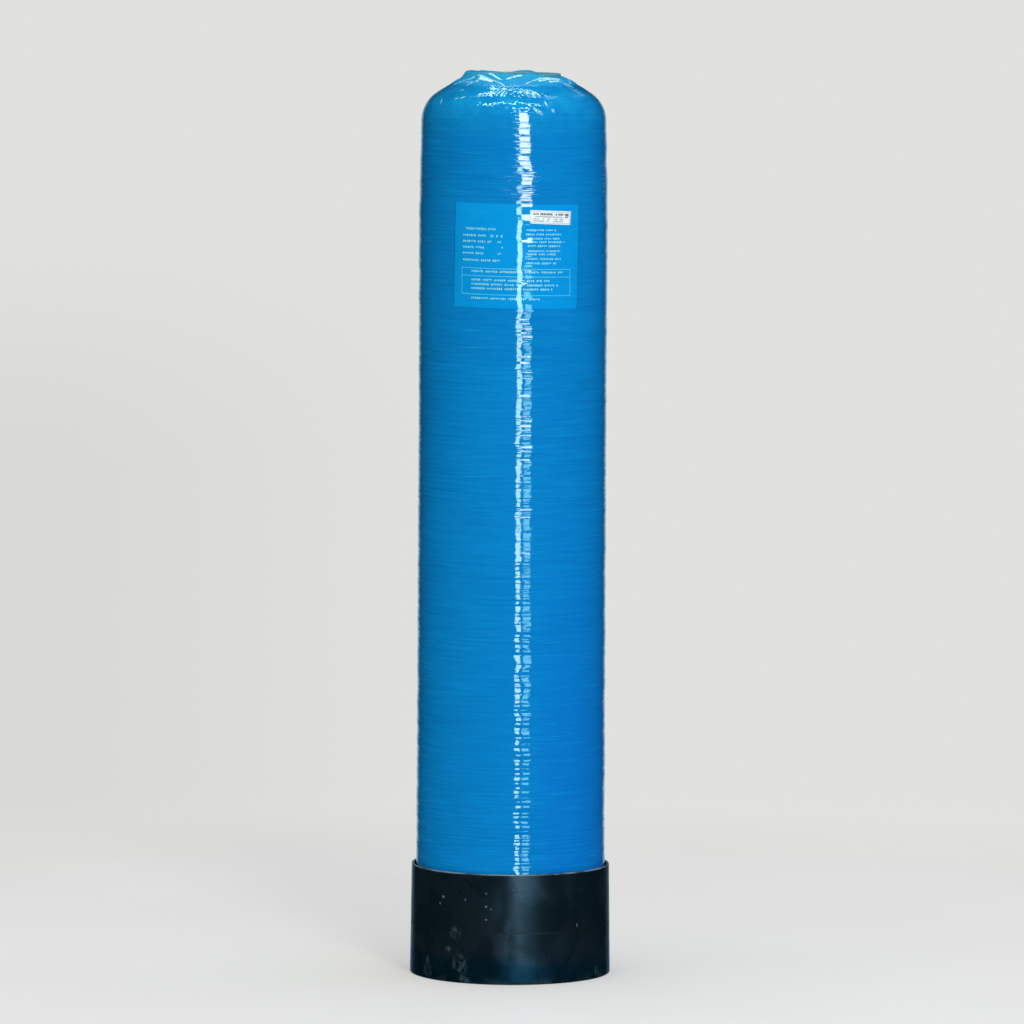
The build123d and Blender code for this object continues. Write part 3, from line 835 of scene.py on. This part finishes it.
for i, spec in enumerate([
    (172, 54.0, 16.0, 0.24), (-88, 55.5, 17.0, 0.24), (98, 56.0, 17.0, 0.24), (-139, 54.5, 16.0, 0.28),
    (134, 55.0, 16.0, 0.28), (-39.8, 50.4, 13.0, 0.26), (29.0, 51.6, 13.0, 0.26), (-43.8, 54.4, 15.0, 0.34),
    (55.5, 56.9, 15.0, 0.34),
]):
    band_piece("frp_shell_band_%d" % (i + 1), *spec)

# ------------------------------------------------------------------ label and sticker
def on_face(quad, u, v):
    """A point of a quad wrapped on the body: u and v run 0..1 from the top left corner."""
    (x0, z0), (x1, z1), (x2, z2), (x3, z3) = quad
    arc = [R_BODY * math.asin(x / R_BODY) for x in (x0, x1, x2, x3)]
    a = (arc[0] * (1 - u) + arc[1] * u) * (1 - v) + (arc[3] * (1 - u) + arc[2] * u) * v
    z = (z0 * (1 - u) + z1 * u) * (1 - v) + (z3 * (1 - u) + z2 * u) * v
    return a, z


def wrap(a, z, off):
    th = a / R_BODY
    r = body_radius(z) + body_relief(th, z) + off
    return np.stack([r * np.sin(th), -r * np.cos(th), z], axis=-1)


def sheet_on_body(name, quad, nu, nv, low, high, mat, corner, bulge=0.0):
    """A closed thin sheet that follows the body, with rounded corners."""
    width = R_BODY * (math.asin(quad[1][0] / R_BODY) - math.asin(quad[0][0] / R_BODY))
    height = quad[0][1] - quad[3][1]
    v_lin = np.linspace(0, 1, nv + 1)
    # rows crowd towards the rounded corners
    d = np.array([0.0, 0.06, 0.25, 0.55, 1.0]) * corner / height
    v = np.unique(np.concatenate([d, 1 - d, v_lin[(v_lin > d[-1]) & (v_lin < 1 - d[-1])]]))
    edge = np.minimum(v, 1 - v) * height
    inset = np.where(edge < corner, corner - np.sqrt(np.maximum(corner**2 - (corner - edge) ** 2, 0)), 0.0) / width
    t = np.linspace(0, 1, nu + 1)
    U = inset[:, None] + t[None, :] * (1 - 2 * inset[:, None])
    V = np.repeat(v[:, None], nu + 1, axis=1)
    A, Z = on_face(quad, U, V)
    rim = np.minimum(np.minimum(U, 1 - U) * width, np.minimum(V, 1 - V) * height)
    top = wrap(A, Z, high - bulge * (1 - smooth(0, 2.0, rim)))
    bot = wrap(A, Z, low)
    rows, cols = A.shape
    verts = np.concatenate([top.reshape(-1, 3), bot.reshape(-1, 3)])
    n = rows * cols
    idx = np.arange(n).reshape(rows, cols)
    faces = []
    a, b, c, e = idx[:-1, :-1], idx[1:, :-1], idx[1:, 1:], idx[:-1, 1:]
    faces += np.stack([a, b, c, e], -1).reshape(-1, 4).tolist()
    faces += (np.stack([e, c, b, a], -1).reshape(-1, 4) + n).tolist()
    loop = np.concatenate([idx[0, :], idx[1:, -1], idx[-1, -2::-1], idx[-2:0:-1, 0]])
    nxt = np.roll(loop, -1)
    faces += np.stack([nxt, nxt + n, loop + n, loop], -1).tolist()
    faces = [f[::-1] for f in faces]
    return mesh_object(name, verts, faces, [mat])


def patches(name, rects, low, high, mats, mat_of=None):
    """Thin raised marks. Each is (a0, a1, z0, z1[, slant, index]) in mm along the body."""
    verts, faces, index = [], [], []
    for rect in rects:
        a0, a1, z0, z1, slant, k = rect
        n = max(1, int(math.ceil((a1 - a0) / 5.0)))
        aa = np.linspace(a0, a1, n + 1)
        base = len(verts)
        for off in (high, low):
            for zz in (z1, z0):
                verts.extend(wrap(aa, zz + (aa - a0) * slant, off).tolist())
        c = n + 1
        T1, T0, B1, B0 = base, base + c, base + 2 * c, base + 3 * c
        new = []
        for i in range(n):
            new.append((T1 + i, T0 + i, T0 + i + 1, T1 + i + 1))
            new.append((B1 + i + 1, B0 + i + 1, B0 + i, B1 + i))
            new.append((T1 + i + 1, B1 + i + 1, B1 + i, T1 + i))
            new.append((T0 + i, B0 + i, B0 + i + 1, T0 + i + 1))
        new.append((T1, B1, B0, T0))
        new.append((T1 + n, T0 + n, B0 + n, B1 + n))
        faces += new
        index += [k] * len(new)
    return mesh_object(name, verts, faces, mats, index, smooth_shade=False)


M_LABEL = frp_material("label_film", label=True)
label = sheet_on_body("data_label_film", LABEL, 96, 128, -0.15, 0.20, M_LABEL, 2.6, bulge=0.12)
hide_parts("data_label")

SLANT = -0.0165  # the label hangs about a degree out of level


def blocks(rr, a0, a1, z, h, groups=(2, 7), cell=(1.0, 1.7), gap=0.45, space=1.5, k=0):
    """A row of plain blocks in groups, from a0 to a1, h mm tall: print without letters."""
    out = []
    a = a0
    while a < a1:
        for _ in range(rr.randint(groups[0], groups[1] + 1)):
            w = rr.uniform(*cell)
            if a + w > a1:
                return out
            hh = h * rr.choice([1.0, 0.8, 0.62], p=[0.45, 0.3, 0.25])
            zz = z + (a - a0) * SLANT - (h - hh) * rr.choice([0.0, 0.5])
            out.append((a, a + w, zz - hh, zz, SLANT, k))
            a += w + gap
        a += space
    return out


def label_print():
    rr = np.random.RandomState(5)
    out = []
    # left column: a heading and five rows of name and value
    out += blocks(rr, -54.0, -17.0, 834.8, 2.4, (8, 12), cell=(1.2, 1.9), gap=0.75)
    for z, n0, v0 in ((827.5, -29.0, -25.0), (820.9, -23.0, -17.0), (814.4, -30.0, -13.0), (808.0, -33.0, -17.0), (800.4, -18.0, -18.0)):
        out += blocks(rr, -57.6, n0, z, 2.3, (4, 9), cell=(1.1, 1.9), gap=0.75, space=2.0)
        out += blocks(rr, v0, -10.0, z - 0.6, 2.3, (1, 2), cell=(1.0, 1.7), gap=0.8, space=2.6)
    # right column: nine closer rows
    for z, a1 in ((833.4, 50.0), (828.7, 57.0), (824.0, 53.0), (820.4, 59.5), (816.0, 54.0), (810.4, 57.0), (807.0, 49.0), (801.8, 55.0), (797.0, 50.0)):
        out += blocks(rr, 13.5 + rr.uniform(0, 4), a1, z, 2.0, (4, 9), cell=(1.0, 1.8), gap=0.65, space=1.7)
    # ruled box
    A0, A1 = -59.2, 66.8
    t = 0.75
    for z in (791.0, 782.6, 762.3):
        out.append((A0, A1, z - t, z, SLANT, 1))
    for a in (A0, A1 - t):
        zz = 791.0 + (a - A0) * SLANT
        for i in range(14):
            out.append((a, a + t, zz - 2.05 * (i + 1), zz - 2.05 * i, 0.0, 1))
    out += blocks(rr, -47.0, 57.0, 788.2, 2.3, (6, 11), cell=(1.2, 1.9), gap=0.75, space=2.2)
    for z, a1 in ((778.8, 41.0), (774.0, 51.0), (769.4, 46.0)):
        out += blocks(rr, -47.0, a1, z, 2.2, (3, 9), cell=(1.1, 1.9), gap=0.7, space=2.0)
    out += blocks(rr, -47.0, 31.0, 758.6, 2.1, (5, 9), cell=(1.1, 1.8), gap=0.75, space=2.0)
    return out


M_INK = ink_material("pale_print", (0.30, 0.76, 0.90), 0.25)
M_RULE = ink_material("pale_rule", (0.10, 0.60, 0.86), 0.2)
marks = patches("data_label_print", label_print(), -0.05, 0.235, [M_INK, M_RULE])

sticker = sheet_on_body("sticker_paper", STICKER, 26, 12, 0.05, 0.36, paper_material(), 0.8, bulge=0.03)
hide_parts("sticker")


def sticker_print():
    rr = np.random.RandomState(9)
    a0 = R_BODY * math.asin(18.2 / R_BODY)
    s = -0.047
    out = []

    def row(a, b, z, h, cell, gap, k, p=1.0):
        x = a
        while x < b:
            w = rr.uniform(*cell)
            if x + w > b:
                break
            if rr.rand() < p:
                zz = z + (x - a0) * s
                out.append((x, x + w, zz - h, zz, s, k))
            x += w + gap

    t = 0.35
    for z in (853.2, 840.9):
        out.append((a0 + 1.3, a0 + 48.0, z - t + 1.3 * s, z + 1.3 * s, s, 1))
    for a in (a0 + 1.3, a0 + 47.7):
        zz = 853.2 + (a - a0) * s
        out.append((a, a + t, zz - 12.3, zz, 0.0, 1))
    row(a0 + 3.2, a0 + 40.0, 851.6, 2.3, (0.7, 1.5), 0.5, 0, 0.85)
    row(a0 + 41.0, a0 + 46.3, 851.7, 2.9, (0.6, 1.1), 0.25, 0)
    row(a0 + 41.0, a0 + 46.3, 848.3, 1.3, (0.7, 1.6), 0.4, 0)
    for z in (848.2, 845.7, 843.4):
        row(a0 + 3.2, a0 + 40.0, z, 1.2, (0.8, 2.2), 0.5, 1, 0.8)
    return out


M_DARK = ink_material("dark_print", (0.030, 0.030, 0.034), 0.3)
M_GREY = ink_material("grey_print", (0.30, 0.31, 0.33), 0.25)
smarks = patches("sticker_print", sticker_print(), 0.30, 0.385, [M_DARK, M_GREY])


# ------------------------------------------------------------------ inlet thread
def thread(mat):
    pitch, root, crest_r = 3.175, 36.55, 34.65
    z0, z1, per = H - 32.2, H - 5.2, 72
    turns = (z1 - z0) / pitch
    n = int(turns * per)
    t = np.arange(n + 1) / per
    th = -2 * PI * t
    zc = z0 + t * pitch
    grow = np.minimum(smooth(0, 0.35, t), smooth(0, 0.35, turns - t))
    sect = [(root, -1.42), (crest_r, -0.26), (crest_r, 0.26), (root, 1.42)]
    verts = []
    for dr, dz in sect:
        r = root + (dr - root) * grow
        z = zc + dz * (0.25 + 0.75 * grow)
        verts.append(np.stack([r * np.sin(th), -r * np.cos(th), z], 1))
    V = np.stack(verts, 1).reshape(-1, 3)
    faces = []
    for i in range(n):
        a, b = 4 * i, 4 * (i + 1)
        for j in range(4):
            k = (j + 1) % 4
            faces.append((a + j, b + j, b + k, a + k))
    faces.append((0, 1, 2, 3))
    faces.append((4 * n + 3, 4 * n + 2, 4 * n + 1, 4 * n))
    o = mesh_object("inlet_thread_ridge", V, faces, [mat], smooth_shade=False)
    return o


M_BOSS = boss_material()
thread(M_BOSS)

# ------------------------------------------------------------------ finishes on the CAD nodes
for node, mat in {
    "inlet_boss": M_BOSS,
    "pe_liner": liner_material(),
    "base": base_material(),
    "base_adhesive": glue_material(),
}.items():
    for s in nodes[node].material_slots:
        s.material = mat


# ------------------------------------------------------------------ stage and lights
def floor():
    g = Net("studio_floor")
    x, y, z = g.xyz()
    r = g.math("SQRT", g.add(g.mul(x, x), g.mul(y, y)))
    n = g.noise(g.scaled(3, 3, 3), 1.0, 3.0, 0.5)
    g.set(Base_Color=g.mix(g.ramp(n, 0.3, 0.7), (0.555, 0.555, 0.545), (0.575, 0.575, 0.565)), Roughness=0.6)
    g.bsdf.inputs["Emission Color"].default_value = (1.0, 0.975, 0.98, 1.0)
    g.bsdf.inputs["Emission Strength"].default_value = 0.276
    geo = g.tree.nodes.new("ShaderNodeNewGeometry")
    clear = g.tree.nodes.new("ShaderNodeBsdfTransparent")
    blend = g.tree.nodes.new("ShaderNodeMixShader")
    gone = g.math("MAXIMUM", geo.outputs["Backfacing"], g.ramp(r, 0.85, 1.7))
    g.tree.links.new(gone, blend.inputs[0])
    g.tree.links.new(g.bsdf.outputs[0], blend.inputs[1])
    g.tree.links.new(clear.outputs[0], blend.inputs[2])
    g.tree.links.new(blend.outputs[0], g.out.inputs[0])
    n_seg = 64
    verts = [(0, 0, -0.0002)] + [
        (1.75 * math.cos(2 * PI * i / n_seg), 1.75 * math.sin(2 * PI * i / n_seg), -0.0002) for i in range(n_seg)
    ]
    faces = [(0, i + 1, (i + 1) % n_seg + 1) for i in range(n_seg)]
    me = bpy.data.meshes.new("floor")
    me.from_pydata(verts, [], faces)
    me.materials.append(g.mat)
    o = bpy.data.objects.new("floor", me)
    o.visible_glossy = False
    bpy.context.scene.collection.objects.link(o)


floor()


def area(name, where, at, w, h, radiance, color=(1, 1, 1), glossy=True, diffuse=True):
    """An area light facing a point, with its radiance given."""
    li = bpy.data.lights.new(name, "AREA")
    li.shape, li.size, li.size_y = "RECTANGLE", w, h
    li.energy = radiance * PI * w * h
    li.color = color
    o = bpy.data.objects.new(name, li)
    bpy.context.scene.collection.objects.link(o)
    back = (np.array(where, float) - np.array(at, float))
    back /= np.linalg.norm(back)
    up = np.array([0, 0, 1.0]) if abs(back[2]) < 0.95 else np.array([0, 1.0, 0])
    xx = np.cross(up, back)
    xx /= np.linalg.norm(xx)
    yy = np.cross(back, xx)
    m = np.eye(4)
    m[:3, 0], m[:3, 1], m[:3, 2], m[:3, 3] = xx, yy, back, where
    o.matrix_world = Matrix(m.tolist())
    o.visible_glossy, o.visible_diffuse = glossy, diffuse
    o.visible_camera = False
    return o


def around(az, dist, z):
    a = az * D2R
    return (dist * math.sin(a), -dist * math.cos(a), z)


# a broad light just right of the camera, with two narrower ones hanging below it
area("box", around(16.0, 2.5, 1.87), (0, 0, 1.87), 0.55, 2.10, 9.2, (0.98, 1.0, 0.95))
area("strip_a", around(7.5, 2.5, 0.42), (0, 0, 0.42), 0.235, 0.80, 7.4, (0.66, 1.0, 0.88))
area("strip_b", around(17.8, 2.5, 0.31), (0, 0, 0.31), 0.36, 0.50, 4.0, (0.40, 1.0, 0.84))
# three overhead strips
area("over_back", (0.08, 0.96, 3.3), (0, 0, 0.97), 2.1, 0.10, 9.0, (0.62, 1.0, 1.0))
area("over_mid", (0.0, -0.72, 3.3), (0, 0, 0.97), 2.5, 0.15, 13.0, (0.56, 1.0, 1.0), diffuse=False)
area("over_top", (0.45, -1.80, 3.3), (0, 0, 0.97), 1.1, 0.20, 13.0, (0.56, 1.0, 1.0), diffuse=False)
# soft fill that isn't mirrored
area("fill_front", around(-13, 3.2, 1.15), (0, 0, 0.7), 2.0, 1.4, 0.84, (0.94, 1.0, 0.98), glossy=False)
area("fill_top", (0, 0, 3.8), (0, 0, 0), 3.0, 3.0, 1.34, (1.0, 1.0, 0.985), glossy=False)


def world():
    w = bpy.data.worlds.new("studio")
    bpy.context.scene.world = w
    w.use_nodes = True
    t = w.node_tree
    t.nodes.clear()
    out = t.nodes.new("ShaderNodeOutputWorld")
    co = t.nodes.new("ShaderNodeTexCoord")
    sep = t.nodes.new("ShaderNodeSeparateXYZ")
    t.links.new(co.outputs["Generated"], sep.inputs[0])

    def ramp(v, lo, hi, a, b):
        n = t.nodes.new("ShaderNodeMapRange")
        n.interpolation_type = "SMOOTHSTEP"
        t.links.new(v, n.inputs["Value"])
        for k, x in (("From Min", lo), ("From Max", hi), ("To Min", a), ("To Max", b)):
            n.inputs[k].default_value = x
        return n.outputs["Result"]

    def calc(op, a, b):
        n = t.nodes.new("ShaderNodeMath")
        n.operation = op
        for sock, v in zip(n.inputs, (a, b)):
            if isinstance(v, bpy.types.NodeSocket):
                t.links.new(v, sock)
            else:
                sock.default_value = v
        return n.outputs[0]

    # what lights the tank: an even room above the floor. The gloss mirrors a dim room, with the
    # pale backdrop low behind the tank
    room = t.nodes.new("ShaderNodeBackground")
    path = t.nodes.new("ShaderNodeLightPath")
    # a little warmer at the left and bluer at the right, and cooler where it is mirrored
    warm = t.nodes.new("ShaderNodeMix")
    cool = t.nodes.new("ShaderNodeMix")
    for n, b in ((warm, (0.95, 0.91, 1.07, 1)), (cool, (0.62, 0.93, 1.00, 1))):
        n.data_type = "RGBA"
        n.inputs[7].default_value = b
    warm.inputs[6].default_value = (1.0, 1.02, 0.87, 1)
    t.links.new(ramp(sep.outputs[0], -0.7, 0.7, 0.0, 1.0), warm.inputs[0])
    t.links.new(path.outputs["Is Glossy Ray"], cool.inputs[0])
    t.links.new(warm.outputs[2], cool.inputs[6])
    t.links.new(cool.outputs[2], room.inputs["Color"])
    dim = t.nodes.new("ShaderNodeMapRange")
    t.links.new(path.outputs["Is Glossy Ray"], dim.inputs["Value"])
    side = calc("ABSOLUTE", sep.outputs[0], 0.0)
    ahead = ramp(sep.outputs[1], 0.2, 0.6, 0.0, 1.0)

    def card(x0, x1, z0, z1, radiance):
        m = calc("MULTIPLY", ramp(sep.outputs[0], x0, x0 + 0.03, 0.0, 1.0), ramp(sep.outputs[0], x1 - 0.03, x1, 1.0, 0.0))
        m = calc("MULTIPLY", m, ramp(sep.outputs[2], z0, z0 + 0.03, 0.0, 1.0))
        return calc("MULTIPLY", m, ramp(sep.outputs[2], z1 - 0.03, z1, radiance, 0.0))

    narrow = calc("MULTIPLY", ramp(side, 0.20, 0.50, 0.60, 0.0), ramp(sep.outputs[2], 0.03, 0.14, 1.0, 0.0))
    narrow = calc("MULTIPLY", narrow, ramp(sep.outputs[2], -0.40, -0.24, 0.0, 1.0))
    cards = card(0.25, 0.38, 0.43, 0.56, 0.5)
    glow = calc("MULTIPLY", calc("ADD", cards, narrow), ahead)
    t.links.new(calc("ADD", glow, 0.006), dim.inputs["To Max"])
    t.links.new(ramp(sep.outputs[2], -0.1, 0.1, 0.2, 0.62), dim.inputs["To Min"])
    t.links.new(dim.outputs["Result"], room.inputs["Strength"])
    # what the camera sees: a pale backdrop, a little darker at the left and low down
    pale = t.nodes.new("ShaderNodeBackground")
    mix = t.nodes.new("ShaderNodeMix")
    mix.data_type = "RGBA"
    shade = calc("MULTIPLY", ramp(sep.outputs[0], -0.062, 0.005, 1.0, 0.0), ramp(sep.outputs[2], -0.085, -0.05, 1.0, 0.0))
    t.links.new(shade, mix.inputs[0])
    mix.inputs[6].default_value = (0.752, 0.750, 0.735, 1)
    mix.inputs[7].default_value = (0.690, 0.692, 0.668, 1)
    t.links.new(mix.outputs[2], pale.inputs["Color"])
    pick = t.nodes.new("ShaderNodeMixShader")
    t.links.new(path.outputs["Is Camera Ray"], pick.inputs[0])
    t.links.new(room.outputs[0], pick.inputs[1])
    t.links.new(pale.outputs[0], pick.inputs[2])
    t.links.new(pick.outputs[0], out.inputs[0])


world()
bpy.context.scene.view_settings.view_transform = "Standard"
